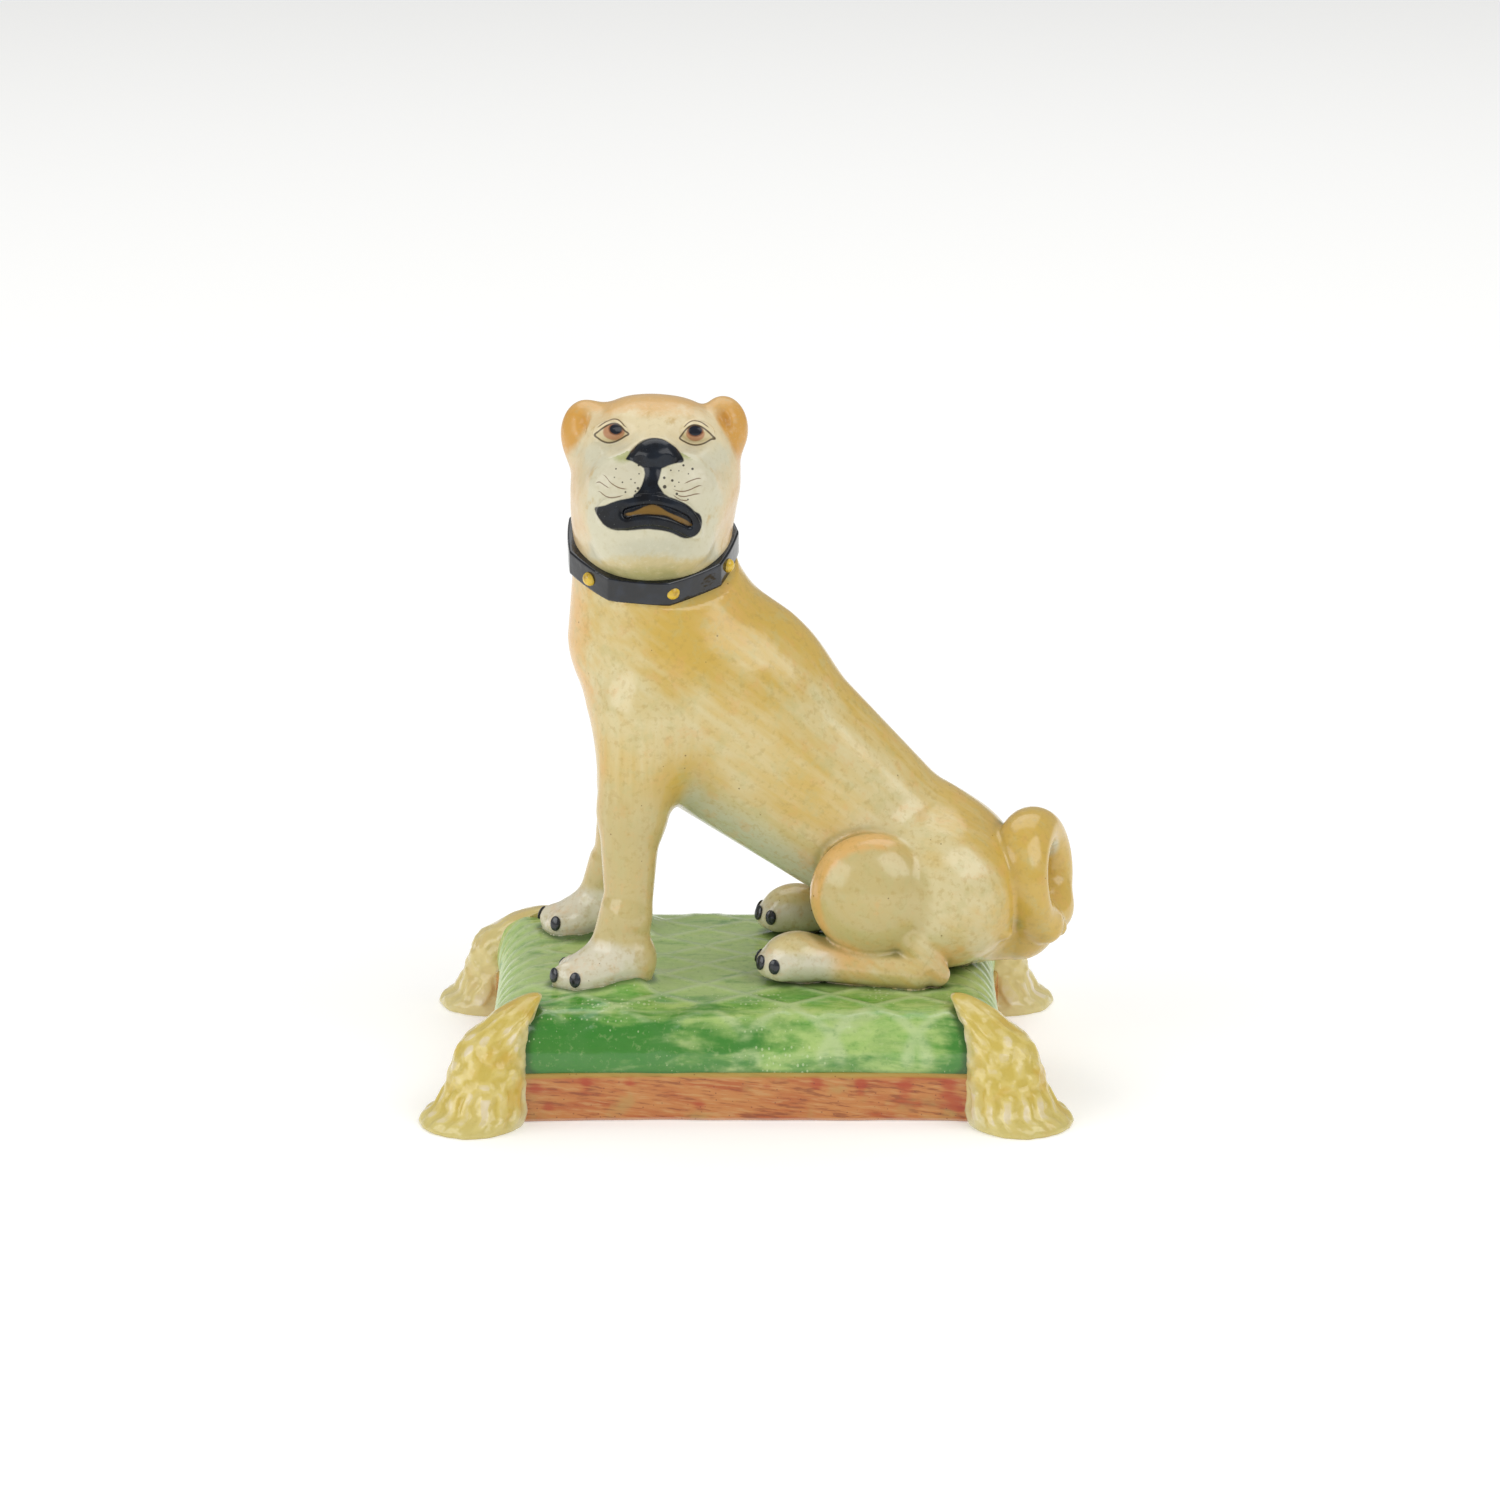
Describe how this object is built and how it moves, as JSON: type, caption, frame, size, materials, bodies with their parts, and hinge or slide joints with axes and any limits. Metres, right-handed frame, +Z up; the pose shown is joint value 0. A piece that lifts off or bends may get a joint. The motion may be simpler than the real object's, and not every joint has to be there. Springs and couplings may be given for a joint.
{
  "type": "pottery dog figurine",
  "caption": "Glazed pottery pug seated on a tasselled cushion, head turned to the viewer, studded collar and curled tail, made as one fired piece that stands on a flat base.",
  "frame": {"origin": "underside of the base, below the middle of the figure's box", "axes": "+Z up; the dog's body faces -X; the front of the cushion and the dog's face look towards -Y"},
  "size_m": [0.1055, 0.0778, 0.1108],
  "materials": {
    "glazed_pottery": "glossy clear glaze over painted colours: ochre dog, blue-black collar, green cushion, iron-red band, yellow tassels"
  },
  "bodies": {
    "root": {"pug_figurine": "glazed_pottery"}
  },
  "joints": []
}
